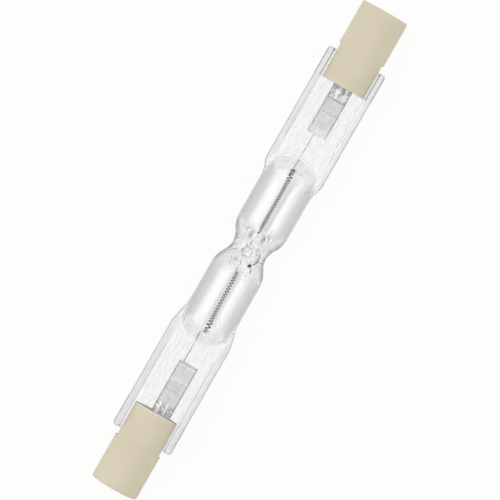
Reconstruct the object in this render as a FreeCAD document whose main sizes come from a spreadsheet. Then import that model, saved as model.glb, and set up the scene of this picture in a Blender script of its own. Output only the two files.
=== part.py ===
"""Double-ended linear halogen bulb with a waisted quartz envelope and slotted ceramic caps.

The bulb lies along X with its flat pinches level and its exhaust tip up. The origin is the middle
of the bulb on its long axis. "right" is the +X end and "left" the -X end. All sizes are millimetres.

One quartz tube is rolled in at the waist, which leaves two chambers joined by a narrow bore, and is
pressed flat at both ends. Each pinch is a thin web between two thick ribs. A molybdenum foil is
sealed in each web: the filament's leg is welded under its inner end, and a round outer lead under
its outer end. The ceramic cap's slot slides over the web, is cemented there, and carries the
contact at the bottom of an open recess.
"""

import FreeCAD, Part
import math
import os

import Sketcher
from FreeCAD import Placement, Rotation, Vector

SIZES = {
    "overall_length": (78.0, "over both ceramic caps"),
    "recess_depth": (1.55, "from the end of the cap to the contact's face"),
    "cap_diameter": (7.2, "ceramic cap, outside"),
    "cap_length": (12.3, "ceramic cap, along the bulb"),
    "collar_length": (6.9, "outer part of the cap that has no slot"),
    "cap_chamfer": (0.15, "broken edges of the ceramic"),
    "recess_ledge": (0.3, "ceramic ledge round the contact, at the bottom of the recess"),
    "recess_chamfer": (0.3, "mouth of the recess"),
    "contact_diameter": (3.7, "contact disc"),
    "contact_thickness": (0.8, "contact disc"),
    "contact_chamfer": (0.15, "edge of the contact's face"),
    "seat_clearance": (0.05, "round the contact disc in its seat"),
    "boss_diameter": (1.9, "socket behind the contact disc that takes the lead"),
    "boss_length": (1.3, "socket behind the contact disc"),
    "boss_clearance": (0.2, "round the boss in the cap's bore"),
    "lead_clearance": (0.01, "round the lead in the boss"),
    "lead_insertion": (1.0, "how far the lead enters the boss"),
    "pinch_gap": (1.05, "from the end of the glass to the bottom of the cap's slot"),
    "pinch_length": (15.75, "from the foot of the shoulder to the end of the glass"),
    "web_thickness": (2.4, "pressed middle of the pinch"),
    "cement_gap": (0.1, "cement between the web and each jaw of the cap"),
    "cement_setback": (0.35, "cement held back inside the cap's outline"),
    "jaw_clearance": (0.08, "between the cap's jaws and the ribs beside them"),
    "rib_width_right": (1.23, "thick edge of the right pinch"),
    "rib_width_left": (1.35, "thick edge of the left pinch"),
    "rib_thickness": (3.4, "thick edges of the pinch"),
    "rib_bevel": (0.4, "sloping outer edges of the ribs"),
    "rib_root": (0.35, "how deep in the tube's wall the ribs begin"),
    "pinch_corner": (0.6, "corners of the pinch's end, seen from above"),
    "flare_length_right": (4.1, "where the glass widens from tube to right pinch"),
    "flare_length_left": (7.1, "where the glass widens from tube to left pinch"),
    "flare_gap_right": (2.2, "from the right flare's end to the shoulder's foot"),
    "flare_gap_left": (0.8, "from the left flare's end to the shoulder's foot"),
    "tube_diameter": (7.9, "round part of the envelope"),
    "rest_flat": (0.08, "depth of the narrow flat below, where the drawn tube isn't quite round"),
    "tube_wall": (1.0, "quartz wall of the chambers"),
    "waist_diameter": (5.4, "narrowest place, between the chambers"),
    "waist_length": (8.3, "from full diameter to full diameter across the waist"),
    "waist_bend": (2.6, "radius of the hollow of the waist"),
    "waist_bore": (1.2, "bore that joins the two chambers"),
    "dome_start": (1.9, "where the chamber begins, from the middle of the bulb"),
    "shoulder_angle": (48.0, "slope of the pressed shoulder in degrees"),
    "shoulder_foot": (0.7, "gentler slope at the foot of the shoulder"),
    "arch_radius": (5.3, "arch of the shoulder, seen from above"),
    "chamber_setback": (1.0, "from the shoulder's foot back to the chamber's end"),
    "chamber_slit": (0.24, "gap left where the chamber closes"),
    "chamber_foot": (0.4, "gentler slope where the chamber closes"),
    "tip_diameter": (2.3, "sealed stub of the exhaust tube"),
    "tip_top": (3.7, "top of the stub above the bulb's axis"),
    "tip_round": (1.05, "radius of the stub's domed end"),
    "tip_bore": (0.7, "bore left inside the stub"),
    "tip_wall": (0.75, "glass over the end of that bore"),
    "foil_width": (2.95, "molybdenum foil"),
    "foil_thickness": (0.03, "molybdenum foil at its middle"),
    "foil_bevel": (0.25, "width of the thinned edge of the foil"),
    "foil_gap_right": (3.6, "from the shoulder's foot to the right foil"),
    "foil_gap_left": (3.1, "from the shoulder's foot to the left foil"),
    "foil_cover": (2.65, "glass between the foil's outer end and the pinch's end"),
    "foil_shift_right": (0.13, "right foil off the bulb's axis, towards -Y"),
    "foil_shift_left": (0.6, "left foil off the bulb's axis, towards -Y"),
    "lead_diameter": (0.7, "molybdenum outer lead"),
    "lead_depth": (6.1, "how deep the outer lead is sealed in the pinch"),
    "wire_diameter": (0.2, "tungsten wire of the filament"),
    "coil_diameter": (0.54, "filament coil, outside"),
    "coil_pitch": (0.62, "filament coil, from turn to turn"),
    "coil_gap": (1.4, "from the chamber's pinched end to the coil"),
    "coil_start_right": (1.9, "right coil, from the middle of the bulb"),
    "coil_start_left": (2.9, "left coil, from the middle of the bulb"),
    "filament_shift": (0.1, "filament off the bulb's axis, towards +Y"),
    "leg_overlap": (1.5, "filament leg welded along the foil"),
}

SIDES = {"right": 0, "left": 180}

doc = FreeCAD.newDocument("halogen_bulb")
sheet = doc.addObject("Spreadsheet::Sheet", "Sizes")
for row, (alias, (value, note)) in enumerate(SIZES.items(), start=1):
    sheet.set(f"A{row}", alias)
    sheet.set(f"B{row}", str(value))
    sheet.setAlias(f"B{row}", alias)
    sheet.set(f"C{row}", note)
doc.recompute()


def size(expression):
    """The number that an expression over the sheet gives."""
    return float(sheet.evalExpression(expression))


# Places along the bulb, from its middle, that several pieces share
HALF = "Sizes.overall_length / 2"
CAP_INNER_END = f"({HALF} - Sizes.cap_length)"
SLOT_BOTTOM = f"({HALF} - Sizes.collar_length)"
CONTACT_FACE = f"({HALF} - Sizes.recess_depth)"
CONTACT_BACK = f"({CONTACT_FACE} - Sizes.contact_thickness)"
PINCH_END = f"({SLOT_BOTTOM} - Sizes.pinch_gap)"
SHOULDER_FOOT = f"({PINCH_END} - Sizes.pinch_length)"
CHAMBER_END = f"({SHOULDER_FOOT} - Sizes.chamber_setback)"
COIL_END = f"({CHAMBER_END} - Sizes.coil_gap)"
FOIL_OUTER_END = f"({PINCH_END} - Sizes.foil_cover)"
BOSS_END = f"({CONTACT_BACK} - Sizes.boss_length)"
LEAD_OUTER_END = f"({BOSS_END} + Sizes.lead_insertion)"
LEAD_INNER_END = f"({PINCH_END} - Sizes.lead_depth)"

# Radii and half heights that several pieces share
CAP_R = "(Sizes.cap_diameter / 2)"
SEAT_R = "(Sizes.contact_diameter / 2 + Sizes.seat_clearance)"
RECESS_R = f"({SEAT_R} + Sizes.recess_ledge)"
BOSS_R = "(Sizes.boss_diameter / 2)"
TUBE_R = "(Sizes.tube_diameter / 2)"
CHAMBER_R = "(Sizes.tube_diameter / 2 - Sizes.tube_wall)"
WEB_HALF = "(Sizes.web_thickness / 2)"
RIB_HALF = "(Sizes.rib_thickness / 2)"
SLOT_HALF = "(Sizes.web_thickness / 2 + Sizes.cement_gap)"
LEAD_R = "(Sizes.lead_diameter / 2)"
WIRE_R = "(Sizes.wire_diameter / 2)"
COIL_R = "((Sizes.coil_diameter - Sizes.wire_diameter) / 2)"
JAW_HALF = f"sqrt({CAP_R}^2 - {SLOT_HALF}^2)"
WEB_EDGE = f"({JAW_HALF} + Sizes.jaw_clearance)"
SPARE = 1.0  # how far a cutting shape runs past what it cuts
BITE = 0.05  # how far one glass shape runs into another that it melts into
DOME_ANGLES = (31, 51, 70, 90)  # corners of the short cones that stand for the ball-shaped dome
TIP_ANGLES = (4, 34, 64)  # the same for the rounded top of the exhaust tip
HOLLOW_PARTS, CREST_PARTS = 2, 3  # short cones in each half of the waist's hollow and in each crest


def add_body(label, turn=0):
    """A body built on the +X side, and turned about Z for the left end."""
    body = doc.addObject("PartDesign::Body", label)
    body.Label = label
    body.Placement = Placement(Vector(), Rotation(Vector(0, 0, 1), turn))
    return body


def origin_plane(body, role):
    return next(part for part in body.Origin.OriginFeatures if part.Role == role)


def add_sketch(body, name, role, **offsets):
    """A sketch on an origin plane of its body, shifted in its own axes by expressions."""
    sketch = body.newObject("Sketcher::SketchObject", name)
    sketch.AttachmentSupport = [(origin_plane(body, role), "")]
    sketch.MapMode = "FlatFace"
    for axis, expression in offsets.items():
        sketch.setExpression(f"AttachmentOffset.Base.{axis}", expression)
    return sketch


def place_point(sketch, geometry, end, x=None, y=None):
    """Ties one end of a line or arc to expressions for its distances from the sketch's origin."""
    for kind, axis_line, expression in (("DistanceX", -2, x), ("DistanceY", -1, y)):
        if expression == "0":
            sketch.addConstraint(Sketcher.Constraint("PointOnObject", geometry, end, axis_line))
        elif expression is not None:
            drive(sketch, expression, kind, -1, 1, geometry, end)


def drive(sketch, expression, *constraint):
    """Adds a dimension to the sketch and binds it to an expression."""
    index = sketch.addConstraint(Sketcher.Constraint(*constraint, size(expression)))
    sketch.setExpression(f"Constraints[{index}]", expression)


def join(sketch, first, second):
    """Makes the end of one line or arc the start of the next."""
    sketch.addConstraint(Sketcher.Constraint("Coincident", first, 2, second, 1))


def add_polygon(sketch, corners):
    """A closed outline of straight sides whose corners are pairs of expressions."""
    points = [Vector(size(x), size(y), 0) for x, y in corners]
    first = sketch.GeometryCount
    for start, end in zip(points, points[1:] + points[:1]):
        sketch.addGeometry(Part.LineSegment(start, end))
    count = len(points)
    for i, (x, y) in enumerate(corners):
        join(sketch, first + i, first + (i + 1) % count)
        place_point(sketch, first + i, 1, x, y)


def add_circle(sketch, radius, x="0", y="0"):
    """A circle whose radius and centre are expressions."""
    centre = Vector(size(x), size(y), 0)
    circle = sketch.addGeometry(Part.Circle(centre, Vector(0, 0, 1), size(radius)))
    drive(sketch, radius, "Radius", circle)
    if x == y == "0":
        sketch.addConstraint(Sketcher.Constraint("Coincident", circle, 3, -1, 1))
    else:
        place_point(sketch, circle, 3, x, y)


def arc_between(start, end, centre):
    """The arc that runs anticlockwise from start to end; its points are 1, 2 and its centre 3."""
    angles = [math.atan2(point.y - centre.y, point.x - centre.x) for point in (start, end)]
    circle = Part.Circle(centre, Vector(0, 0, 1), (start - centre).Length)
    return Part.ArcOfCircle(circle, *angles)


def add_pad(body, sketch, length, midplane=False, reverse=False):
    pad = body.newObject("PartDesign::Pad", sketch.Name + "_pad")
    pad.Profile = sketch
    pad.setExpression("Length", length)
    pad.Midplane = midplane
    pad.Reversed = reverse
    return pad


def add_pocket(body, sketch, depth, midplane=False, reverse=False):
    pocket = body.newObject("PartDesign::Pocket", sketch.Name + "_pocket")
    pocket.Profile = sketch
    pocket.setExpression("Length", depth)
    pocket.Midplane = midplane
    pocket.Reversed = reverse
    return pocket


def add_revolution(body, sketch, axis="H_Axis", cut=False, angle=360.0):
    kind = "PartDesign::Groove" if cut else "PartDesign::Revolution"
    feature = body.newObject(kind, sketch.Name + "_turned")
    feature.Profile = sketch
    feature.ReferenceAxis = (sketch, [axis])
    feature.Angle = angle
    feature.Midplane = angle != 360.0
    return feature


def add_mirror(body, features, role):
    """Repeats features on the other side of an origin plane."""
    mirror = body.newObject("PartDesign::Mirrored", features[0].Name + "_mirrored")
    mirror.Originals = features
    mirror.MirrorPlane = (origin_plane(body, role), [""])
    body.Tip = mirror
    return mirror


def add_chamfer(body, feature, width, wanted):
    """Bevels the edges of a feature that a test picks out, by a size expression."""
    doc.recompute()
    edges = [f"Edge{i}" for i, edge in enumerate(feature.Shape.Edges, start=1) if wanted(edge)]
    chamfer = body.newObject("PartDesign::Chamfer", feature.Name + "_chamfer")
    chamfer.Base = (feature, edges)
    chamfer.setExpression("Size", width)
    return chamfer


def middle_of(edge):
    return edge.valueAt((edge.FirstParameter + edge.LastParameter) / 2)


def near(value, expression):
    return abs(value - size(expression)) < 1e-4


def combine(kind, label, base, tool):
    """A boolean of two whole objects, or a union of one with a list of others."""
    result = doc.addObject(kind, label)
    result.Label = label
    if kind == "Part::MultiFuse":
        result.Shapes = [base] + tool
        result.Refine = True
    else:
        result.Base, result.Tool = base, tool
    return result


def turned_body(name, half):
    """A body turned about X: its outline runs from the middle of the bulb outwards on both sides."""
    body = add_body(name)
    outline = add_sketch(body, name + "_outline", "XZ_Plane")
    add_polygon(outline, [(f"(-1 * {x})", z) for x, z in reversed(half[1:])] + half)
    add_revolution(body, outline)
    return body


def press_end(body, name, way, foot_x, foot_z, top_z, foot_length, closes=False):
    """Presses a round body flat above and below, beyond an arch centred on the bulb's axis.

    The way is 1 for the +X end and -1 for the other. A body that closes there is cut off at the arch.
    """
    press = add_sketch(body, name, "XZ_Plane", x=f"{way} * ({foot_x} - Sizes.arch_radius)")
    foot_rise = f"({foot_length} * tan(Sizes.shoulder_angle / 2 * 1 deg))"
    high = f"({top_z} + {SPARE})"
    climb = f"(({high} - {foot_z} - {foot_rise}) / tan(Sizes.shoulder_angle * 1 deg))"
    far = f"(Sizes.arch_radius + {SPARE})"
    corners = [
        ("Sizes.arch_radius", foot_z), (f"(Sizes.arch_radius - {foot_length})", f"({foot_z} + {foot_rise})"),
        (f"(Sizes.arch_radius - {foot_length} - {climb})", high), (far, high)]
    corners += [(far, "0"), ("Sizes.arch_radius", "0")] if closes else [(far, foot_z)]
    add_polygon(press, [(f"({way} * {x})", z) for x, z in corners])
    groove = add_revolution(body, press, axis="V_Axis", cut=True, angle=180.0)
    add_mirror(body, [groove], "XY_Plane")


# Quartz envelope, outside: the tube with its rolled waist and a pressed shoulder at each end
def waisted_tube():
    waist_r, waist_x = "(Sizes.waist_diameter / 2)", "(Sizes.waist_length / 2)"
    rise = f"({TUBE_R} - {waist_r})"
    crest = f"(({waist_x}^2 + {rise}^2) / (2 * {rise}) - Sizes.waist_bend)"
    sweep = f"asin({waist_x} / (Sizes.waist_bend + {crest}))"
    half = [("0", waist_r)]
    for i in range(1, HOLLOW_PARTS + 1):
        angle = f"({sweep} * {i} / {HOLLOW_PARTS})"
        half.append((f"(Sizes.waist_bend * sin({angle}))",
                     f"({waist_r} + Sizes.waist_bend * (1 - cos({angle})))"))
    for i in reversed(range(CREST_PARTS)):
        angle = f"({sweep} * {i} / {CREST_PARTS})"
        half.append((f"({waist_x} - {crest} * sin({angle}))", f"({TUBE_R} - {crest} * (1 - cos({angle})))"))
    body = turned_body("tube", half + [(SHOULDER_FOOT, TUBE_R), (SHOULDER_FOOT, "0")])
    for side, way in (("right", 1), ("left", -1)):
        press_end(body, f"shoulder_{side}", way, SHOULDER_FOOT, f"({WEB_HALF} - {BITE})", TUBE_R,
                  "Sizes.shoulder_foot")
    flat = add_sketch(body, "rest_flat", "XZ_Plane")
    low, high = f"(-1 * ({TUBE_R} + {SPARE}))", f"(Sizes.rest_flat - {TUBE_R})"
    inner = f"(-1 * {SHOULDER_FOOT})"
    add_polygon(flat, [(inner, low), (SHOULDER_FOOT, low), (SHOULDER_FOOT, high), (inner, high)])
    add_pocket(body, flat, f"2 * {TUBE_R}", midplane=True)
    return body


# The hollow of the envelope: two chambers joined by the waist's bore, pressed shut at their ends
def chambers():
    bore_r, ball_x = "(Sizes.waist_bore / 2)", f"(Sizes.dome_start + {CHAMBER_R})"
    dome = [(f"({ball_x} - {CHAMBER_R} * cos({angle} deg))", f"({CHAMBER_R} * sin({angle} deg))")
            for angle in DOME_ANGLES]
    half = [("0", bore_r), (f"({ball_x} - sqrt({CHAMBER_R}^2 - {bore_r}^2))", bore_r), *dome,
            (CHAMBER_END, CHAMBER_R), (CHAMBER_END, "0")]
    body = turned_body("chambers", half)
    for side, way in (("right", 1), ("left", -1)):
        press_end(body, f"chamber_end_{side}", way, CHAMBER_END, "Sizes.chamber_slit / 2", CHAMBER_R,
                  "Sizes.chamber_foot", closes=True)
    return body


# Quartz envelope, outside: a pressed end with two ribs and the web between them
def pinch(side, turn):
    body = add_body(f"pinch_{side}", turn)
    plan = add_sketch(body, f"pinch_outline_{side}", "XY_Plane")
    flare_end = f"({SHOULDER_FOOT} - Sizes.flare_gap_{side})"
    flare_start = f"({flare_end} - Sizes.flare_length_{side})"
    root = f"({TUBE_R} - Sizes.rib_root)"
    edge = f"({WEB_EDGE} + Sizes.rib_width_{side})"
    start_x, end_x, last_x = size(flare_start), size(flare_end), size(PINCH_END)
    low, high, corner = size(root), size(edge), size("Sizes.pinch_corner")
    length, rise = end_x - start_x, high - low
    bend = (length**2 + rise**2) / (4 * rise)
    start, end = Vector(start_x, low, 0), Vector(end_x, high, 0)
    turning = (start + end) * 0.5
    top_end, side_end = Vector(last_x - corner, high, 0), Vector(last_x, high - corner, 0)
    foot, inner_foot = Vector(last_x, 0, 0), Vector(start_x, 0, 0)
    plan.addGeometry(arc_between(start, turning, start + Vector(0, bend, 0)))
    plan.addGeometry(arc_between(end, turning, end - Vector(0, bend, 0)))
    plan.addGeometry(Part.LineSegment(end, top_end))
    plan.addGeometry(arc_between(side_end, top_end, top_end - Vector(0, corner, 0)))
    plan.addGeometry(Part.LineSegment(side_end, foot))
    plan.addGeometry(Part.LineSegment(foot, inner_foot))
    plan.addGeometry(Part.LineSegment(inner_foot, start))
    hollow, crest, long_edge, round_corner, end_edge, middle, inner = range(7)
    place_point(plan, hollow, 1, flare_start, root)
    plan.addConstraint(Sketcher.Constraint("Vertical", hollow, 1, hollow, 3))
    plan.addConstraint(Sketcher.Constraint("Tangent", hollow, 2, crest, 2))
    plan.addConstraint(Sketcher.Constraint("Equal", hollow, crest))
    plan.addConstraint(Sketcher.Constraint("Tangent", crest, 1, long_edge, 1))
    place_point(plan, long_edge, 1, flare_end, edge)
    plan.addConstraint(Sketcher.Constraint("Horizontal", long_edge))
    plan.addConstraint(Sketcher.Constraint("Tangent", long_edge, 2, round_corner, 2))
    plan.addConstraint(Sketcher.Constraint("Tangent", round_corner, 1, end_edge, 1))
    drive(plan, "Sizes.pinch_corner", "Radius", round_corner)
    plan.addConstraint(Sketcher.Constraint("Vertical", end_edge))
    place_point(plan, end_edge, 2, PINCH_END, "0")
    join(plan, end_edge, middle)
    plan.addConstraint(Sketcher.Constraint("PointOnObject", middle, 2, -1))
    join(plan, middle, inner)
    plan.addConstraint(Sketcher.Constraint("Vertical", inner))
    plan.addConstraint(Sketcher.Constraint("Coincident", inner, 2, hollow, 1))
    slab = add_pad(body, plan, "Sizes.rib_thickness", midplane=True)
    slab = add_mirror(body, [slab], "XZ_Plane")

    def outer_edge(edge):
        point = middle_of(edge)
        return near(abs(point.z), RIB_HALF) and not near(point.x, flare_start)

    add_chamfer(body, slab, "Sizes.rib_bevel", outer_edge)
    web = add_sketch(body, f"web_outline_{side}", "XY_Plane", z=RIB_HALF)
    inside, outside = f"({SHOULDER_FOOT} - 0.55 * Sizes.arch_radius)", f"({PINCH_END} + {SPARE})"
    low_edge = f"(-{WEB_EDGE})"
    add_polygon(web, [(inside, low_edge), (outside, low_edge), (outside, WEB_EDGE), (inside, WEB_EDGE)])
    pocket = add_pocket(body, web, f"{RIB_HALF} - {WEB_HALF}")
    add_mirror(body, [pocket], "XY_Plane")
    return body


# Quartz envelope, outside: the sealed stub of the tube that the chambers were filled through
def exhaust_tip():
    body = add_body("tip")
    outline = add_sketch(body, "tip_outline", "XZ_Plane")
    round_r, centre = "Sizes.tip_round", "(Sizes.tip_top - Sizes.tip_round)"
    dome = [(f"({round_r} * cos({angle} deg))", f"({centre} + {round_r} * sin({angle} deg))")
            for angle in TIP_ANGLES]
    add_polygon(outline, [("0", "Sizes.waist_bore"), ("Sizes.tip_diameter / 2", "Sizes.waist_bore"), *dome,
                          ("0", "Sizes.tip_top")])
    add_revolution(body, outline, axis="V_Axis")
    return body


# Molybdenum foil, thicker in the middle than at its long edges
def foil(side, turn):
    body = add_body(f"foil_{side}", turn)
    start = f"({SHOULDER_FOOT} + Sizes.foil_gap_{side})"
    section = add_sketch(body, f"foil_section_{side}", "YZ_Plane", z=start)
    shift = f"(-Sizes.foil_shift_{side})" if turn == 0 else f"Sizes.foil_shift_{side}"
    half, flat = "Sizes.foil_width / 2", "(Sizes.foil_width / 2 - Sizes.foil_bevel)"
    top, low = "Sizes.foil_thickness / 2", "-Sizes.foil_thickness / 2"
    add_polygon(section, [
        (f"{shift} - {half}", "0"), (f"{shift} - {flat}", low), (f"{shift} + {flat}", low),
        (f"{shift} + {half}", "0"), (f"{shift} + {flat}", top), (f"{shift} - {flat}", top)])
    add_pad(body, section, f"{FOIL_OUTER_END} - {start}")
    return body


# Round molybdenum lead, welded flat under the foil and straight from there into the contact's socket
LEAD_Z = f"(-(Sizes.foil_thickness / 2 + 0.96 * {LEAD_R}))"


def outer_lead(side, turn, foil_body):
    body = add_body(f"lead_{side}", turn)
    section = add_sketch(body, f"lead_section_{side}", "YZ_Plane", z=LEAD_INNER_END)
    add_circle(section, LEAD_R, "0", LEAD_Z)
    add_pad(body, section, f"{LEAD_OUTER_END} - {LEAD_INNER_END}")
    return combine("Part::Cut", f"outer_lead_{side}", body, foil_body)


# Ceramic cap: a cylinder slotted from its inner end, with the contact's recess in its outer end
def cap(side, turn):
    body = add_body(f"cap_{side}", turn)
    outline = add_sketch(body, f"cap_outline_{side}", "YZ_Plane", z=CAP_INNER_END)
    add_circle(outline, CAP_R)
    add_pad(body, outline, "Sizes.cap_length")
    for name, radius, floor in (
            ("recess", RECESS_R, CONTACT_FACE),
            ("seat", SEAT_R, CONTACT_BACK),
            ("bore", f"({BOSS_R} + Sizes.boss_clearance)", SLOT_BOTTOM)):
        hole = add_sketch(body, f"{name}_{side}", "YZ_Plane", z=HALF)
        add_circle(hole, radius)
        add_pocket(body, hole, f"{HALF} - {floor}")
    slot = add_sketch(body, f"slot_{side}", "XZ_Plane")
    inner, low = f"({CAP_INNER_END} - {SPARE})", f"(-{SLOT_HALF})"
    add_polygon(slot, [(inner, low), (SLOT_BOTTOM, low), (SLOT_BOTTOM, SLOT_HALF), (inner, SLOT_HALF)])
    slotted = add_pocket(body, slot, f"2 * {CAP_R} + {SPARE}", midplane=True)

    def on_rim(edge, radius):
        point = middle_of(edge)
        return near(point.x, HALF) and near(math.hypot(point.y, point.z), radius)

    worn = add_chamfer(body, slotted, "Sizes.cap_chamfer", lambda edge: on_rim(edge, CAP_R))
    add_chamfer(body, worn, "Sizes.recess_chamfer", lambda edge: on_rim(edge, RECESS_R))
    return body


# Contact: a disc at the bottom of the recess, and behind it a socket for the lead
def contact(side, turn):
    body = add_body(f"contact_{side}", turn)
    outline = add_sketch(body, f"contact_outline_{side}", "XZ_Plane")
    disc_r = "(Sizes.contact_diameter / 2)"
    bevel_x, bevel_r = f"{CONTACT_FACE} - Sizes.contact_chamfer", f"{disc_r} - Sizes.contact_chamfer"
    add_polygon(outline, [
        (BOSS_END, "0"), (CONTACT_FACE, "0"), (CONTACT_FACE, bevel_r), (bevel_x, disc_r),
        (CONTACT_BACK, disc_r), (CONTACT_BACK, BOSS_R), (BOSS_END, BOSS_R)])
    add_revolution(body, outline)
    socket = add_sketch(body, f"socket_{side}", "YZ_Plane", z=BOSS_END)
    add_circle(socket, f"{LEAD_R} + Sizes.lead_clearance", "0", LEAD_Z)
    add_pocket(body, socket, "Sizes.lead_insertion", reverse=True)
    return body


# Cement between the web and the cap's jaws, and in the slot beyond the end of the glass
def cement(side, turn, lead):
    body = add_body(f"cement_filling_{side}", turn)
    outline = add_sketch(body, f"cement_outline_{side}", "YZ_Plane", z=SLOT_BOTTOM)
    radius = f"({CAP_R} - Sizes.cement_setback)"
    add_circle(outline, radius)
    inner = f"({CAP_INNER_END} + Sizes.cement_setback)"
    add_pad(body, outline, f"{SLOT_BOTTOM} - {inner}", reverse=True)
    beyond, low = f"({CAP_R} + {SPARE})", f"({inner} - {SPARE})"
    high = f"({SLOT_BOTTOM} + {SPARE})"
    jaw = add_sketch(body, f"jaw_face_{side}", "XZ_Plane")
    add_polygon(jaw, [(low, SLOT_HALF), (high, SLOT_HALF), (high, beyond), (low, beyond)])
    over = add_pocket(body, jaw, f"2 * {CAP_R}", midplane=True)
    add_mirror(body, [over], "XY_Plane")
    web = add_sketch(body, f"web_face_{side}", "XZ_Plane")
    web_low = f"(-{WEB_HALF})"
    add_polygon(web, [(low, web_low), (PINCH_END, web_low), (PINCH_END, WEB_HALF), (low, WEB_HALF)])
    add_pocket(body, web, f"2 * {CAP_R}", midplane=True)
    return combine("Part::Cut", f"cement_{side}", body, lead)


# Filament: one tungsten wire, coiled in both chambers and straight between and beyond the coils
LEG_Y = f"(Sizes.filament_shift + {COIL_R})"
LEG_Z = f"(-(Sizes.foil_thickness / 2 + 0.8 * {WIRE_R}))"
ALONG_X = Rotation(Vector(1, 1, 1), 120)
CHORDS = 8  # straight pieces in a turn of the coil


def place(item, turn, x, y=LEG_Y, z=LEG_Z):
    """Turns an object and binds its place to expressions."""
    item.Placement = Placement(Vector(), turn)
    for axis, expression in (("x", x), ("y", y), ("z", z)):
        item.setExpression(f"Placement.Base.{axis}", expression)
    return item


def wire(name, start, end):
    rod = doc.addObject("Part::Cylinder", name)
    rod.setExpression("Radius", WIRE_R)
    rod.setExpression("Height", f"{end} - {start}")
    return place(rod, ALONG_X, start)


def coil(side):
    """One wound length of the wire, in short straight chords and with a square section."""
    length = size(f"{COIL_END} - Sizes.coil_start_{side}")
    turns = round(length / size("Sizes.coil_pitch"))
    bend, step = size(COIL_R), length / turns / CHORDS
    points = [
        Vector(bend * math.cos(2 * math.pi * i / CHORDS), bend * math.sin(2 * math.pi * i / CHORDS), i * step)
        for i in range(turns * CHORDS + 1)]
    path = Part.makePolygon(points)
    along = points[1] - points[0]
    across = Vector(bend, 0, 0)
    section = Part.makePolygon([
        points[0] + Rotation(along, 90 * i + 45) * across.normalize() * size(WIRE_R) * 1.25
        for i in range(5)])
    winding = doc.addObject("Part::Feature", f"coil_{side}")
    winding.Shape = path.makePipeShell([section], True, False, 1)
    start = f"Sizes.coil_start_{side}" if side == "right" else f"-{COIL_END}"
    return place(winding, ALONG_X, start, y="Sizes.filament_shift")


pinches = [pinch(side, turn) for side, turn in SIDES.items()]
foils = {side: foil(side, turn) for side, turn in SIDES.items()}
leads = {side: outer_lead(side, turn, foils[side]) for side, turn in SIDES.items()}
for side, turn in SIDES.items():
    cap(side, turn)
    contact(side, turn)
    cement(side, turn, leads[side])

WELD_RIGHT = f"({SHOULDER_FOOT} + Sizes.foil_gap_right + Sizes.leg_overlap)"
WELD_LEFT = f"({SHOULDER_FOOT} + Sizes.foil_gap_left + Sizes.leg_overlap)"
leg_right = wire("leg_right", f"({COIL_END} - {WIRE_R})", WELD_RIGHT)
leg_left = wire("leg_left", f"(-{WELD_LEFT})", f"({WIRE_R} - {COIL_END})")
bridge = wire("bridge", f"(-Sizes.coil_start_left - {WIRE_R})", f"(Sizes.coil_start_right + {WIRE_R})")
wound_right = combine("Part::Fuse", "wound_right", coil("right"), leg_right)
wound_right = combine("Part::Fuse", "wound_middle", wound_right, bridge)
wound_left = combine("Part::Fuse", "wound_left", coil("left"), leg_left)
wound = combine("Part::Fuse", "wound_wire", wound_right, wound_left)
pair = combine("Part::MultiFuse", "foil_pair", foils["right"], [foils["left"]])
combine("Part::Cut", "filament", wound, pair)

# Envelope: the glass less its hollow and everything that is sealed in it
tip_bore = doc.addObject("Part::Cylinder", "tip_bore")
tip_bore.setExpression("Radius", "Sizes.tip_bore / 2")
tip_bore.setExpression("Height", "Sizes.tip_top - Sizes.tip_wall")
glass = combine("Part::MultiFuse", "glass_outside", waisted_tube(), [*pinches, exhaust_tip()])
hollow = combine("Part::MultiFuse", "glass_hollow", chambers(), [
    tip_bore, leg_right, leg_left, *foils.values(), *leads.values()])
combine("Part::Cut", "envelope", glass, hollow)
doc.recompute()

NODES = ["envelope", "filament"] + [
    f"{name}_{side}" for side in SIDES for name in ("foil", "outer_lead", "cap", "contact", "cement")]

for item in doc.Objects:
    if "Invalid" in item.State or "Error" in item.State:
        raise RuntimeError(f"{item.Label} did not build: {item.State}")
os.makedirs("parts", exist_ok=True)
for node in NODES:
    shape = doc.getObjectsByLabel(node)[0].Shape
    if shape.isNull() or not shape.isValid() or len(shape.Solids) != 1:
        raise RuntimeError(f"{node} is not one valid solid")
    shape.exportStep(f"parts/{node}.step")
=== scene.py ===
"""A linear halogen bulb lying on white card. Lengths are in millimetres, and MM turns them to metres."""
import math

import bmesh
import bpy
import numpy as np
from mathutils import Matrix, Vector


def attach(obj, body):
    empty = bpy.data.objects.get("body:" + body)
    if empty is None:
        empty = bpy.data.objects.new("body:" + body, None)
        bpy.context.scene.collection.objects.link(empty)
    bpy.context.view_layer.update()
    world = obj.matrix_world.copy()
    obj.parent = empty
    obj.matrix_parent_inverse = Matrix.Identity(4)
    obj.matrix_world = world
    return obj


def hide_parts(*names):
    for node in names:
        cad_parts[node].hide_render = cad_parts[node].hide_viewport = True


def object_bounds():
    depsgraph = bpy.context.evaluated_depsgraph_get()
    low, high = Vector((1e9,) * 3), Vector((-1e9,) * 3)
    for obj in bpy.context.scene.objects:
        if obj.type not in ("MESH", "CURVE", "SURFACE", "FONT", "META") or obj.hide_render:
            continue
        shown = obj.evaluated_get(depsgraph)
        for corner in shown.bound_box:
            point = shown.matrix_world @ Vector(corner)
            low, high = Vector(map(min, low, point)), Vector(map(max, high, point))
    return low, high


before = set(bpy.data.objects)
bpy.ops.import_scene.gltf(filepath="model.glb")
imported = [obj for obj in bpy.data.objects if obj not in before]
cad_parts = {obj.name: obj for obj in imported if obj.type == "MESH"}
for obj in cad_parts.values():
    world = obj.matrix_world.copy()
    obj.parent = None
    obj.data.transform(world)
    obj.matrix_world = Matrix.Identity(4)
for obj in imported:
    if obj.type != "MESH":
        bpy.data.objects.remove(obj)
cad_low, cad_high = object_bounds()

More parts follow.
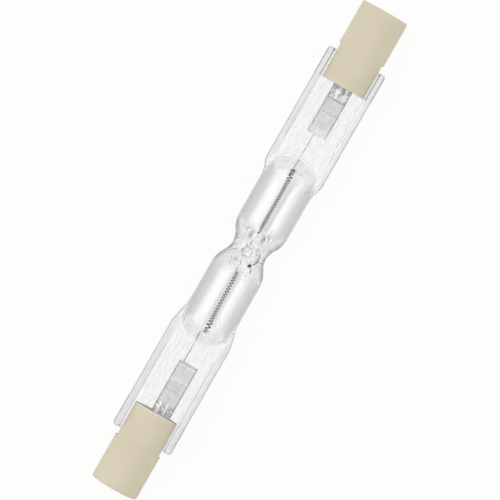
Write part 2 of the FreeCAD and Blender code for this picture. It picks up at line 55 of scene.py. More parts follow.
MM = 0.001
scene = bpy.context.scene
scene.view_settings.view_transform = "Standard"
scene.cycles.max_bounces = 48  # light goes through the thick glass of the waist many times over
scene.cycles.transmission_bounces = 48
scene.cycles.glossy_bounces = 48

# The camera looks down on the bulb where it lies, with a long lens from 600 mm
# away. The bulb is turned in the picture, and its +X end is at the upper right.
picture_turn = math.radians(29.76)
camera_lean = math.radians(1.9)  # the camera stands a little towards the +X end
camera_distance = 600 * MM

lens = bpy.data.cameras.new("camera")
lens.sensor_width = 36
lens.lens = 303.2
lens.clip_start, lens.clip_end = 0.01, 20
camera = bpy.data.objects.new("camera", lens)
scene.collection.objects.link(camera)
scene.camera = camera
back = Vector((math.sin(camera_lean), 0, math.cos(camera_lean)))
up = Vector((math.cos(picture_turn), math.sin(picture_turn), 0))
right = up.cross(back).normalized()
up = back.cross(right)
aim = Vector((0.08, -0.05, 0)) * MM
turned = Matrix((right, up, back)).transposed().to_4x4()
camera.matrix_world = Matrix.Translation(aim + back * camera_distance) @ turned


# Floor: a sheet of white card. The camera, the metal and the glass see it
# almost as bright as paper on a light table, and the rest of it is lit by the
# lamps and keeps the bulb's shadow.
def to_linear(code):
    """An sRGB hex colour such as F2F0EA as linear RGBA."""
    channels = [int(code[i:i + 2], 16) / 255 for i in (0, 2, 4)]
    return [c / 12.92 if c <= 0.04045 else ((c + 0.055) / 1.055) ** 2.4 for c in channels] + [1.0]


def add_node(tree, kind, sockets=None, **settings):
    """Adds a node with its settings. A socket gets a value, or a link if it is given another socket."""
    node = tree.nodes.new("ShaderNode" + kind)
    for name, value in settings.items():
        setattr(node, name, value)
    for name, value in (sockets or {}).items():
        if isinstance(value, bpy.types.NodeSocket):
            tree.links.new(value, node.inputs[name])
        else:
            node.inputs[name].default_value = value
    return node


def new_material(name):
    """An empty node material and its output node."""
    material = bpy.data.materials.new(name)
    material.use_nodes = True
    material.node_tree.nodes.clear()
    return material, material.node_tree, add_node(material.node_tree, "OutputMaterial")


def seen_directly(tree):
    """1 for rays from the camera, and for those that metal and glass pass on, and 0 for the rest."""
    rays = add_node(tree, "LightPath").outputs
    seen = add_node(tree, "Math", {0: rays["Is Camera Ray"], 1: rays["Is Glossy Ray"]}, operation="ADD")
    return add_node(tree, "Math", {0: seen.outputs[0], 1: rays["Is Transmission Ray"]},
                    operation="ADD", use_clamp=True).outputs[0]


glow_share = 0.93  # of what is seen directly; the rest shows the shadow
card, tree, output = new_material("white_card")
grain = add_node(tree, "TexNoise", {"Vector": add_node(tree, "TexCoord").outputs["Object"],
                                    "Scale": 1 / (0.6 * MM), "Detail": 3.0})
paper_tone = add_node(tree, "ValToRGB", {"Fac": grain.outputs["Fac"]})
paper_tone.color_ramp.elements[0].color = to_linear("F4F4F2")
paper_tone.color_ramp.elements[1].color = to_linear("F8F8F7")
paper = add_node(tree, "BsdfDiffuse", {"Color": paper_tone.outputs["Color"]})
glow = add_node(tree, "Emission", {"Color": to_linear("FFFFFF"), "Strength": 1.0})
share = add_node(tree, "Math", {0: seen_directly(tree), 1: glow_share}, operation="MULTIPLY")
lit_card = add_node(tree, "MixShader", {0: share.outputs[0], 1: paper.outputs[0], 2: glow.outputs[0]})
tree.links.new(lit_card.outputs[0], output.inputs["Surface"])

bm = bmesh.new()
bmesh.ops.create_grid(bm, x_segments=1, y_segments=1, size=3.0)
bmesh.ops.translate(bm, verts=bm.verts, vec=(0, 0, cad_low.z))
mesh = bpy.data.meshes.new("floor")
bm.to_mesh(mesh)
bm.free()
mesh.materials.append(card)
floor = bpy.data.objects.new("floor", mesh)
scene.collection.objects.link(floor)

# Light: an even pale room and two large soft lamps, the stronger one from the
# upper left of the picture.
room = bpy.data.worlds.new("room")
room.use_nodes = True
scene.world = room
tree = room.node_tree
tree.nodes.clear()
backdrop = add_node(tree, "Background", {"Color": to_linear("FFFFFF"), "Strength": 1.0})
walls = add_node(tree, "Background", {"Color": to_linear("FFFDF8"), "Strength": 0.56})
sides = add_node(tree, "MixShader", {0: seen_directly(tree), 1: walls.outputs[0], 2: backdrop.outputs[0]})
tree.links.new(sides.outputs[0], add_node(tree, "OutputWorld").inputs["Surface"])

lamp_size = 0.9  # metres; a small lamp makes rows of glints along the ribs
for name, stand, power in (("key_lamp", (-0.22, 0.60, 0.64), 3.45), ("fill_lamp", (0.48, -0.42, 0.50), 2.23)):
    lamp = bpy.data.lights.new(name, "AREA")
    lamp.shape, lamp.size, lamp.energy = "SQUARE", lamp_size, power
    lamp_object = bpy.data.objects.new(name, lamp)
    lamp_object.location = stand
    lamp_object.rotation_euler = Vector(stand).to_track_quat("Z", "Y").to_euler()
    scene.collection.objects.link(lamp_object)


# Envelope: one piece of clear quartz tube. Its middle is heated and rolled to
# a waist, both ends are softened and pressed flat between jaws, which leaves
# two ribs and an arched shoulder, and the tube it was filled through is
# melted off to a small round tip.
tube_r, waist_r, glass_wall = 3.95, 2.70, 1.00
waist_x, waist_bend = 4.15, 2.60
pinch_end, shoulder_foot, arch_r = 31.05, 15.30, 5.30
shoulder_slope = math.radians(52)
web_half, rib_half = 1.20, 1.70
rib_inner = 3.437  # where the ribs begin, across the bulb
rib_edge = {1: 4.667, -1: 4.787}  # outer edge of the ribs at the right and the left end
rib_root = 0.6  # how deep inside the tube's outline the ribs begin
flare = {1: (9.0, 13.1), -1: (7.4, 14.5)}  # where the sides leave the tube, and where the ribs are straight
web_start = 11.5  # from here outwards the slab has its thin web
tip_r, tip_top, tip_x, tip_y = 1.42, 3.70, -0.45, -0.42
rest_flat = 0.08  # the underside is a trace flatter, and the bulb lies on it
lump_height, bore_lump_height = 0.05, 0.06  # of the rolled glass, outside and inside


def soft_max(a, b, blend):
    """The larger of two distances, rounded over where they meet."""
    h = np.clip(0.5 + 0.5 * (a - b) / blend, 0, 1)
    return b + (a - b) * h + blend * h * (1 - h)


def soft_min(a, b, blend):
    """The smaller of two distances, rounded in the same way."""
    return -soft_max(-a, -b, blend)


def waist_profile(x):
    """Outer radius of the tube: a hollow bend at the waist and a crest up to the full tube."""
    a, rise = np.abs(x), tube_r - waist_r
    crest = (waist_x**2 + rise**2) / (2 * rise) - waist_bend
    sweep = math.asin(waist_x / (waist_bend + crest))
    hollow = waist_r + waist_bend - np.sqrt(np.maximum(waist_bend**2 - np.minimum(a, waist_bend)**2, 0))
    past = np.clip(waist_x - a, 0, crest)
    rounded = tube_r - crest + np.sqrt(crest**2 - past**2)
    return np.where(a < waist_bend * math.sin(sweep), hollow, rounded)


def press_height(x, y, foot_x, foot_z, foot_length, slope, blend):
    """Half the thickness that the pressing jaws leave, above an arch centred on the bulb's axis."""
    reach = np.hypot(np.maximum(np.abs(x) - (foot_x - arch_r), 0), y)
    foot_rise = foot_length * math.tan(slope / 2)
    gentle = foot_z + (arch_r - reach) * math.tan(slope / 2)
    steep = foot_z + foot_rise + (arch_r - foot_length - reach) * math.tan(slope)
    height = soft_max(gentle, steep, blend)
    behind = np.abs(x) < foot_x - arch_r
    return np.where(behind, tube_r + 5, soft_max(height, np.full_like(height, foot_z), blend))


def side_edge(x):
    """Outer edge of the ribs, and how far it has swung: out of the tube in an S, and then straight."""
    way = np.where(x > 0, 1, -1)
    start = np.where(way > 0, flare[1][0], flare[-1][0])
    end = np.where(way > 0, flare[1][1], flare[-1][1])
    high = np.where(way > 0, rib_edge[1], rib_edge[-1])
    t = np.clip((np.abs(x) - start) / (end - start), 0, 1)
    swing = t * t * (3 - 2 * t)
    return tube_r - rib_root + (high - tube_r + rib_root) * swing, swing


def rounded_box(a, b, half_a, half_b, radius):
    """Distance to a rectangle with rounded corners, in two directions."""
    da, db = np.abs(a) - half_a + radius, np.abs(b) - half_b + radius
    return np.hypot(np.maximum(da, 0), np.maximum(db, 0)) + np.minimum(np.maximum(da, db), 0) - radius


def unevenness(x, y, z):
    """Soft lumps near the waist, where the glass was rolled, between about -1 and 1."""
    wave = np.sin(4.1 * x + 1.3 * y + 0.4) * np.sin(3.3 * y - 2.2 * z + 1.1)
    wave += 0.6 * np.sin(2.7 * z + 3.6 * x + 2.0)
    wave += 0.35 * np.sin(9.1 * x - 3.0 * z + 0.5) * np.sin(8.3 * y + 2.5 * x)
    wave += 0.16 * np.sin(15.0 * x + 5.0 * y) * np.sin(13.0 * y - 6.0 * x + 1.7)
    return wave / 1.8 * np.exp(-(x / 2.6) ** 4)


def glass_outside(x, y, z):
    """Below 0 inside the envelope's outer surface."""
    tube = np.hypot(y, z) - waist_profile(x)
    pressed = press_height(x, y, shoulder_foot, web_half - 0.05,
                           foot_length=0.5, slope=shoulder_slope, blend=0.12)
    tube = soft_max(tube, (np.abs(z) - pressed) * 0.75, 0.30)
    edge, swing = side_edge(x)
    slab = rounded_box(y, z, edge, rib_half * (0.5 + 0.5 * swing), 0.70 * (0.5 + 0.5 * swing))
    web = np.maximum(np.abs(y) - rib_inner, web_half - np.abs(z))
    slab = np.where(np.abs(x) > web_start, soft_max(slab, -web, 1.0), slab)
    end = rounded_box(x, y, pinch_end, edge, 0.6)
    slab = soft_max(slab, end, 0.25)
    slab = np.where(np.abs(x) < np.where(x > 0, flare[1][0], flare[-1][0]), 9.0, slab)
    glass = soft_min(tube, slab, 0.5)
    glass = np.where(np.abs(x) > shoulder_foot + 1, slab, glass)
    glass = soft_max(glass, -z - (tube_r - rest_flat), 0.06) + lump_height * unevenness(x, y, z)
    tip = np.hypot(np.hypot(x - tip_x, y - tip_y), np.maximum(z - (tip_top - tip_r), 0)) - tip_r
    return np.where(z > 0, soft_min(glass, tip, 0.08), glass)


def cast(inside, x, y, z, dy, dz, reach):
    """How far from a point inside, in the plane across the bulb, the surface is."""
    near, far = np.zeros_like(x), np.full_like(x, reach)
    for _ in range(26):
        middle = (near + far) / 2
        hit = inside(x, y + dy * middle, z + dz * middle) > 0
        far, near = np.where(hit, middle, far), np.where(hit, near, middle)
    return (near + far) / 2


def moulded_skin(bm, inside, stations, axis_y, axis_z, fan, quarter=(16, 14)):
    """A closed skin round the X axis: one ring at each station, with its points cast out onto the surface.

    The points of a ring go out from a short line across the bulb: straight up and down along it, and
    in a fan round its two ends.
    """
    flat_rays, fan_rays = quarter
    count = 4 * (flat_rays + fan_rays)
    reach = 8.0  # farther than any point of the bulb's surface
    x = np.repeat(np.asarray(stations, float)[:, None], count, 1)
    y0, z0 = (np.broadcast_to(np.asarray(a, float).reshape(-1, 1), x.shape) for a in (axis_y, axis_z))
    one = np.ones_like(x)
    out_right = cast(inside, x, y0, z0, one, 0 * one, reach)
    out_left = cast(inside, x, y0, z0, -one, 0 * one, reach)
    line_right = np.maximum(out_right - fan, 0.35 * out_right)
    line_left = np.maximum(out_left - fan, 0.35 * out_left)
    f = np.arange(flat_rays) / flat_rays
    g = np.arange(fan_rays) / fan_rays * math.pi / 2
    along = np.concatenate([f, np.ones(2 * fan_rays), 1 - f, -f, -np.ones(2 * fan_rays), f - 1])
    turn = np.concatenate([
        np.full(flat_rays, math.pi / 2), math.pi / 2 - g, -g, np.full(flat_rays, -math.pi / 2),
        np.full(flat_rays, -math.pi / 2), -math.pi / 2 - g, -math.pi - g,
        np.full(flat_rays, -1.5 * math.pi)])
    start_y = y0 + np.where(along > 0, along * line_right, along * line_left)
    dy, dz = (np.broadcast_to(d, x.shape) for d in (np.cos(turn), np.sin(turn)))
    far = cast(inside, x, start_y, z0, dy, dz, reach)
    y, z = start_y + dy * far, z0 + dz * far

    ring = bmesh.ops.create_circle(bm, segments=count, radius=1)["verts"]
    edges = [e for e in {e for v in ring for e in v.link_edges} if all(v in ring for v in e.verts)]
    rings = [ring]
    for _ in stations[1:]:
        made = bmesh.ops.extrude_edge_only(bm, edges=edges)["geom"]
        edges = [g for g in made if isinstance(g, bmesh.types.BMEdge)]
        old = rings[-1]
        fresh = {v for v in made if isinstance(v, bmesh.types.BMVert)}
        rings.append([next(e.other_vert(v) for e in v.link_edges if e.other_vert(v) in fresh)
                      for v in old])
        edges = [e for e in edges if all(v in fresh for v in e.verts)]
    for i, ring in enumerate(rings):
        for j, vert in enumerate(ring):
            vert.co = (x[i, j] * MM, y[i, j] * MM, z[i, j] * MM)
    for ring in (rings[0], rings[-1]):
        bm.faces.new(ring)
    return rings


def stations_between(*spans):
    """Places along X: each span gives its start, and the greatest step to the next span's start."""
    places = []
    for (start, step), (end, _) in zip(spans, spans[1:]):
        count = max(1, math.ceil((end - start) / step - 1e-6))
        places += [start + (end - start) * i / count for i in range(count)]
    return places + [spans[-1][0]]


def both_ways(half):
    """The same places on both sides of the bulb's middle."""
    return [-x for x in reversed(half) if x > 0] + half


glass_mesh = bmesh.new()
half = stations_between((0, 0.10), (1.6, 0.16), (4.4, 0.5), (11.0, 0.16), (16.2, 1.1), (30.2, 0.12),
                        (30.9, 0.04), (pinch_end - 0.002, 1))
outer_stations = both_ways(half)
moulded_skin(glass_mesh, glass_outside, outer_stations, np.zeros(len(outer_stations)),
             np.zeros(len(outer_stations)), 0.9, (22, 16))
bmesh.ops.recalc_face_normals(glass_mesh, faces=glass_mesh.faces)

# The hollow: two chambers with round ends at the waist, joined by the waist's
# bore, and pressed shut to a flat arch at their outer ends. A slim funnel is
# left round each leg of the filament, where the glass closed last.
chamber_r = tube_r - glass_wall
bore_r, dome_start, dome_end = 0.60, 0.90, 4.30
chamber_end, chamber_slit, chamber_slope = 14.45, 0.12, math.radians(56)
leg_y, leg_z, wire_r = 0.27, -0.095, 0.10
funnel_start, funnel_gap, funnel_end = 12.0, 0.16, {1: 15.8, -1: 16.0}
ceiling_start, ceiling_run, ceiling_drop = 9.5, 3.4, 0.65  # the jaws draw the chamber's roof down
tip_bore_r, tip_bore_top = 0.34, 2.3


def hollow_profile(x):
    """Radius of the hollow: it narrows in an S to the waist's bore."""
    t = np.clip((np.abs(x) - dome_start) / (dome_end - dome_start), 0, 1)
    return bore_r + (chamber_r - bore_r) * t * t * (3 - 2 * t)


def glass_inside(x, y, z):
    """Below 0 inside the hollow of the envelope."""
    hollow = np.hypot(y, z) - hollow_profile(x) + bore_lump_height * unevenness(x + 0.7, y, z)
    pressed = press_height(x, y, chamber_end, chamber_slit, foot_length=0.4, slope=chamber_slope, blend=0.10)
    jaws = (np.abs(z) - pressed) * 0.7
    arch = np.hypot(np.maximum(np.abs(x) - (chamber_end - arch_r), 0), y) - arch_r
    t = np.clip((np.abs(x) - ceiling_start) / ceiling_run, 0, 1)
    ceiling = np.abs(z) - (chamber_r - ceiling_drop * t * t * (3 - 2 * t))
    hollow = soft_max(soft_max(hollow, ceiling, 0.4), jaws, 0.2)
    hollow = soft_max(hollow, arch, 0.10)
    end = np.where(x > 0, funnel_end[1], funnel_end[-1])
    t = np.clip((end - np.abs(x)) / 3.0, 0, 1)
    funnel = np.hypot(y - leg_y, z - leg_z) - (wire_r + funnel_gap * t**1.6)
    funnel = np.where(np.abs(x) > end, 5.0, funnel)
    from_stem = np.hypot(x - 0.5 * tip_x, y - 0.5 * tip_y)
    tip_bore = np.hypot(from_stem, np.maximum(z - tip_bore_top, 0)) - tip_bore_r
    hollow = np.where(z > 0, soft_min(hollow, tip_bore, 0.12), hollow)
    return np.where(np.abs(x) > funnel_start, soft_min(hollow, funnel, 0.15), hollow)


half = stations_between((0, 0.06), (3.2, 0.12), (5.0, 0.5), (11.0, 0.12), (13.8, 0.05), (14.6, 0.12),
                        (15.99, 0.1))
hollow_stations = both_ways(half)
slide = np.clip((np.abs(hollow_stations) - funnel_start) / 2.0, 0, 1)
slide = slide * slide * (3 - 2 * slide)
hollow_mesh = bmesh.new()
moulded_skin(hollow_mesh, glass_inside, hollow_stations, leg_y * slide, leg_z * slide, 0.6, (22, 12))
bmesh.ops.recalc_face_normals(hollow_mesh, faces=hollow_mesh.faces)
bmesh.ops.reverse_faces(hollow_mesh, faces=hollow_mesh.faces)
for face in hollow_mesh.faces:
    face.material_index = 1
hollow_skin = bpy.data.meshes.new("hollow_skin")
hollow_mesh.to_mesh(hollow_skin)
hollow_mesh.free()
glass_mesh.from_mesh(hollow_skin)
bpy.data.meshes.remove(hollow_skin)

# Fused quartz, drawn as tube: clear and smooth, with faint lines along the
# tube and soft ripples where it was pressed. Towards its outline the tube is
# painted grey, as painted shade for the dim room that it shows there.
quartz_ior = 1.458


def measured(tree):
    """A point's place on the piece, and how far it lies from the bulb's middle and from its axis."""
    place = add_node(tree, "TexCoord").outputs["Object"]
    spot = add_node(tree, "SeparateXYZ", {"Vector": place}).outputs
    along, across = (add_node(tree, "Math", {0: spot[axis]}, operation="ABSOLUTE").outputs[0] for axis in "XY")
    return place, spot, along, across


def quartz_bumps(tree, place, along, across):
    """Drawing lines, and ripples that are deeper in the pressed ends."""
    drawn = add_node(tree, "Mapping", {"Vector": place, "Scale": (0.05, 1, 1)}).outputs[0]
    lines = add_node(tree, "TexNoise", {"Vector": drawn, "Scale": 1 / (0.7 * MM), "Detail": 2.0})
    pulled = add_node(tree, "Mapping", {"Vector": place, "Scale": (0.4, 1, 1)}).outputs[0]
    ripples = add_node(tree, "TexNoise", {"Vector": pulled, "Scale": 1 / (0.9 * MM), "Detail": 2.0})
    pressed = add_node(tree, "MapRange", {
        "Value": along, "From Min": 13 * MM, "From Max": 16 * MM,
        "To Min": 0.004 * MM, "To Max": 0.09 * MM}).outputs[0]
    in_web = add_node(tree, "MapRange", {
        "Value": across, "From Min": 2.2 * MM, "From Max": 2.9 * MM, "To Min": 1.0, "To Max": 0.0}).outputs[0]
    depth = add_node(tree, "Math", {0: pressed, 1: in_web}, operation="MULTIPLY").outputs[0]
    line_bump = add_node(tree, "Bump", {
        "Height": lines.outputs["Fac"], "Strength": 0.25, "Distance": 0.01 * MM}).outputs[0]
    return add_node(tree, "Bump", {
        "Height": ripples.outputs["Fac"], "Normal": line_bump, "Strength": 0.6, "Distance": depth}).outputs[0]


quartz, tree, output = new_material("fused_quartz")
place, spot, along, across = measured(tree)
# The grey of this ramp towards the tube's outline is painted shade.
turned_away = add_node(tree, "LayerWeight", {"Blend": 0.5}).outputs["Facing"]
limb = add_node(tree, "ValToRGB", {"Fac": turned_away})
limb.color_ramp.elements.remove(limb.color_ramp.elements[1])
limb.color_ramp.elements[0].color = to_linear("F8F8FA")
for position, code in (
        (0.05, "F7F7F9"), (0.10, "F1F1F3"), (0.14, "E7E7E8"), (0.185, "D3D3D5"), (0.24, "C4C4C6"),
        (0.31, "BEBEC0"), (0.5, "BCBCBE"), (0.66, "BEBEC0"), (0.8, "B4B4B6")):
    limb.color_ramp.elements.new(position).color = to_linear(code)

# The painted shade is lifted on the flat webs, and on the rolled waist where it
# faces up; the waist's rim is painted dark, as painted shade.
past_crest = add_node(tree, "MapRange", {
    "Value": along, "From Min": 11.0 * MM, "From Max": 13.5 * MM, "To Min": 0.0, "To Max": 0.85},
    interpolation_type="SMOOTHSTEP").outputs[0]
before_edge = add_node(tree, "MapRange", {
    "Value": across, "From Min": 3.4 * MM, "From Max": 4.1 * MM, "To Min": 1.0, "To Max": 0.0},
    interpolation_type="SMOOTHSTEP").outputs[0]
on_web = add_node(tree, "Math", {0: past_crest, 1: before_edge}, operation="MULTIPLY").outputs[0]
at_waist = add_node(tree, "MapRange", {
    "Value": along, "From Min": 2.6 * MM, "From Max": 4.8 * MM, "To Min": 0.6, "To Max": 0.0},
    interpolation_type="SMOOTHSTEP").outputs[0]
off_rim = add_node(tree, "MapRange", {
    "Value": turned_away, "From Min": 0.40, "From Max": 0.68, "To Min": 1.0, "To Max": 0.0}).outputs[0]
facing_up = add_node(tree, "Math", {0: at_waist, 1: off_rim}, operation="MULTIPLY").outputs[0]
waist_tone = add_node(tree, "Mix", {"Factor": facing_up, 6: limb.outputs["Color"], 7: to_linear("F2F2F4")},
                      data_type="RGBA").outputs[2]
on_rim = add_node(tree, "MapRange", {"Value": turned_away, "From Min": 0.42, "From Max": 0.72}).outputs[0]
at_neck = add_node(tree, "MapRange", {
    "Value": along, "From Min": 2.4 * MM, "From Max": 5.2 * MM, "To Min": 1.0, "To Max": 0.0},
    interpolation_type="SMOOTHSTEP").outputs[0]
neck_rim = add_node(tree, "Math", {0: at_neck, 1: on_rim}, operation="MULTIPLY").outputs[0]
rim_tone = add_node(tree, "Mix", {"Factor": neck_rim, 6: waist_tone, 7: to_linear("545456")},
                    data_type="RGBA").outputs[2]
web_tone = add_node(tree, "Mix", {"Factor": on_web, 6: rim_tone, 7: to_linear("FAFAFB")},
                    data_type="RGBA").outputs[2]

# The ring round the tip is painted dark in broken dashes, as painted shade where
# its steep wall shows the dim room, and solid near one point. A black bead lies
# beside it, and the melted glass of the waist has small dark seeds in it.
tip_shade_middle = (tip_x * MM, tip_y * MM, 0)
ring_dark_middle = ((tip_x - 0.50) * MM, (tip_y - 1.33) * MM, 0)
bead_middle = ((tip_x - 1.36) * MM, (tip_y - 0.70) * MM, 0)
level = add_node(tree, "Mapping", {"Vector": place, "Scale": (1, 1, 0)}).outputs[0]
from_tip, from_ring_dark, from_bead = (
    add_node(tree, "VectorMath", {0: level, 1: centre}, operation="DISTANCE").outputs["Value"]
    for centre in (tip_shade_middle, ring_dark_middle, bead_middle))
# The ring round the tip is painted shade, broken into dashes by noise.
round_tip = add_node(tree, "MapRange", {
    "Value": from_tip, "From Min": 1.1 * MM, "From Max": 1.8 * MM}).outputs[0]
ring = add_node(tree, "ValToRGB", {"Fac": round_tip})
ring.color_ramp.elements[0].position, ring.color_ramp.elements[1].position = 0.36, 0.46
for position, code in ((0.56, "FFFFFF"), (0.66, "000000")):
    ring.color_ramp.elements.new(position).color = to_linear(code)
ring_breaks = add_node(tree, "TexNoise", {"Vector": place, "Scale": 1 / (0.8 * MM), "Detail": 2.0}).outputs["Fac"]
dashes = add_node(tree, "MapRange", {
    "Value": ring_breaks, "From Min": 0.52, "From Max": 0.60, "To Max": 0.8}).outputs[0]
near_ring_dark, near_bead = (
    add_node(tree, "MapRange", {"Value": distance, "From Min": near * MM, "From Max": far * MM,
                                "To Min": 1.0, "To Max": 0.0}).outputs[0]
    for distance, near, far in ((from_ring_dark, 0.55, 0.75), (from_bead, 0.22, 0.30)))
dark_places = add_node(tree, "Math", {0: dashes, 1: near_ring_dark}, operation="MAXIMUM").outputs[0]
broken_ring = add_node(tree, "Math", {0: ring.outputs["Color"], 1: dark_places},
                       operation="MULTIPLY").outputs[0]
on_top = add_node(tree, "MapRange", {
    "Value": spot["Z"], "From Min": 1.9 * MM, "From Max": 2.2 * MM}).outputs[0]
tip_ring_shade, bead = (add_node(tree, "Math", {0: mark, 1: on_top}, operation="MULTIPLY").outputs[0]
              for mark in (broken_ring, near_bead))
grains = add_node(tree, "TexNoise", {"Vector": place, "Scale": 1 / (0.42 * MM), "Detail": 1.0})
specks = add_node(tree, "MapRange", {"Value": grains.outputs["Fac"], "From Min": 0.66, "From Max": 0.72})
seeds = add_node(tree, "Math", {0: specks.outputs[0], 1: at_waist}, operation="MULTIPLY").outputs[0]
shade_and_seeds = add_node(tree, "Math", {0: tip_ring_shade, 1: seeds}, operation="MAXIMUM").outputs[0]
marks = add_node(tree, "Math", {0: shade_and_seeds, 1: bead}, operation="MAXIMUM", use_clamp=True).outputs[0]

# The ribs' edges are painted a little darker, as painted shade, and fine striae run along the webs.
at_edge = add_node(tree, "MapRange", {"Value": across, "From Min": 3.9 * MM, "From Max": 4.3 * MM},
                   interpolation_type="SMOOTHSTEP").outputs[0]
edge_tone = add_node(tree, "Mix", {"Factor": at_edge, 6: web_tone, 7: to_linear("E7E7E8")},
                     data_type="RGBA", blend_type="MULTIPLY").outputs[2]
stretched = add_node(tree, "Mapping", {"Vector": place, "Scale": (0.3, 1, 1)}).outputs[0]
striae = add_node(tree, "TexNoise", {"Vector": stretched, "Scale": 1 / (0.35 * MM), "Detail": 4.0})
veil = add_node(tree, "ValToRGB", {"Fac": striae.outputs["Fac"]})
veil.color_ramp.elements[0].position, veil.color_ramp.elements[1].position = 0.40, 0.56
veil.color_ramp.elements[0].color = to_linear("F1F1F3")
streaked = add_node(tree, "Mix", {"Factor": past_crest, 6: edge_tone, 7: veil.outputs["Color"]},
                    data_type="RGBA", blend_type="MULTIPLY").outputs[2]
marked = add_node(tree, "Mix", {"Factor": marks, 6: streaked, 7: to_linear("020202")},
                  data_type="RGBA").outputs[2]
clear = add_node(tree, "BsdfPrincipled", {
    "Base Color": marked, "Roughness": 0.0, "IOR": quartz_ior, "Transmission Weight": 1.0,
    "Normal": quartz_bumps(tree, place, along, across)})
tree.links.new(clear.outputs[0], output.inputs["Surface"])

# The same quartz on the bore, with a faint grey band above and below each coil
# that is a painted shadow: the coil's shadow on the card, seen through the glass.
bore_quartz, tree, output = new_material("fused_quartz_bore")
place, spot, along, across = measured(tree)
slanted = add_node(tree, "Math", {0: spot["X"], 1: 0.009, 2: spot["Y"]}, operation="MULTIPLY_ADD").outputs[0]
off_middle = add_node(tree, "Math", {0: slanted, 1: 0.18 * MM}, operation="ADD").outputs[0]
from_coil = add_node(tree, "Math", {0: off_middle}, operation="ABSOLUTE").outputs[0]
near_coil = add_node(tree, "MapRange", {
    "Value": from_coil, "From Min": 0.40 * MM, "From Max": 0.75 * MM, "To Min": 1.0, "To Max": 0.0},
    interpolation_type="SMOOTHSTEP").outputs[0]
past_waist = add_node(tree, "MapRange", {
    "Value": along, "From Min": 1.8 * MM, "From Max": 3.2 * MM}).outputs[0]
before_end = add_node(tree, "MapRange", {
    "Value": along, "From Min": 11.8 * MM, "From Max": 13.0 * MM, "To Min": 1.0, "To Max": 0.0}).outputs[0]
beside_coil = add_node(tree, "Math", {0: past_waist, 1: before_end}, operation="MULTIPLY").outputs[0]
# The grey band beside the coil is a painted shadow.
painted_coil_shadow = add_node(tree, "Math", {0: near_coil, 1: beside_coil}, operation="MULTIPLY").outputs[0]
greyed = add_node(tree, "Mix", {"Factor": painted_coil_shadow, 6: to_linear("FFFFFF"), 7: to_linear("E4E4E6")},
                  data_type="RGBA").outputs[2]
clear = add_node(tree, "BsdfPrincipled", {
    "Base Color": greyed, "Roughness": 0.0, "IOR": quartz_ior, "Transmission Weight": 1.0,
    "Normal": quartz_bumps(tree, place, along, across)})
tree.links.new(clear.outputs[0], output.inputs["Surface"])


def finished(name, bm, material):
    """Makes a mesh object from a bmesh, with its material and its shading."""
    made = bpy.data.meshes.new(name)
    bm.to_mesh(made)
    bm.free()
    made.materials.append(material)
    made.shade_smooth()
    item = bpy.data.objects.new(name, made)
    scene.collection.objects.link(item)
    return item


quartz_envelope = finished("quartz_envelope", glass_mesh, quartz)
quartz_envelope.data.materials.append(bore_quartz)
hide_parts("envelope")
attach(quartz_envelope, "root")

# Filament: one tungsten wire. In both chambers it is wound on a thin mandrel,
# and that coil again on a thicker one. It is left straight in the waist and in
# the legs that run to the foils.
coil_spans = {"right": (1.9, 12.8, 26), "left": (-12.8, -2.7, 22)}  # both ends, and the turns between
coil_shifts = {"right": (0.07, 0.09), "left": (-0.18, -0.04)}  # across the bulb, at both ends
coil_r, strand_r, fine_wire_r = 0.160, 0.063, 0.026
fine_turns, points_per_turn = 10, 8  # of the first winding, in each turn of the second
leg_wire_r, leg_gap = 0.045, 0.25
leg_ends = {"right": 20.4, "left": -19.9}


def wound_twice(side):
    """Points along a wire that is wound on a thin mandrel, and that coil again on a thicker one."""
    start, end, turns = coil_spans[side]
    from_y, to_y = coil_shifts[side]
    steps = turns * fine_turns * points_per_turn
    rise = (end - start) / turns / (2 * math.pi)
    for i in range(steps + 1):
        big = 2 * math.pi * turns * i / steps
        small = big * fine_turns
        outwards = Vector((0, math.cos(big), math.sin(big)))
        onwards = Vector((rise, -coil_r * math.sin(big), coil_r * math.cos(big))).normalized()
        across = onwards.cross(outwards)
        point = outwards * (coil_r + strand_r * math.cos(small)) + across * strand_r * math.sin(small)
        way = i / steps
        middle = Vector((start + (end - start) * way, from_y + (to_y - from_y) * way, leg_z))
        yield point + middle, fine_wire_r


def wire_path():
    """Points along the whole wire and its radius there, from the left foil to the right foil."""
    straight = [Vector((x, leg_y, leg_z)) for x in (
        leg_ends["left"], coil_spans["left"][0] - leg_gap, coil_spans["left"][1] + leg_gap,
        coil_spans["right"][0] - leg_gap, coil_spans["right"][1] + leg_gap, leg_ends["right"])]
    left, right = list(wound_twice("left")), list(wound_twice("right"))
    leg = [(point, leg_wire_r) for point in straight]
    return leg[:2] + left + leg[2:4] + right + leg[4:]


# Drawn tungsten, which heat has tarnished to a dark grey with a dull shine.
tungsten, tree, output = new_material("drawn_tungsten")
place = add_node(tree, "TexCoord").outputs["Object"]
tarnish = add_node(tree, "TexNoise", {"Vector": place, "Scale": 1 / (0.8 * MM), "Detail": 3.0})
tone = add_node(tree, "ValToRGB", {"Fac": tarnish.outputs["Fac"]})
tone.color_ramp.elements[0].position, tone.color_ramp.elements[1].position = 0.35, 0.65
tone.color_ramp.elements[0].color = to_linear("454341")
tone.color_ramp.elements[1].color = to_linear("666461")
grains = add_node(tree, "TexNoise", {"Vector": place, "Scale": 1 / (0.05 * MM), "Detail": 2.0})
bump = add_node(tree, "Bump", {"Height": grains.outputs["Fac"], "Strength": 0.3, "Distance": 0.005 * MM})
metal = add_node(tree, "BsdfPrincipled", {
    "Base Color": tone.outputs["Color"], "Metallic": 1.0, "Roughness": 0.42, "Normal": bump.outputs[0]})
tree.links.new(metal.outputs[0], output.inputs["Surface"])

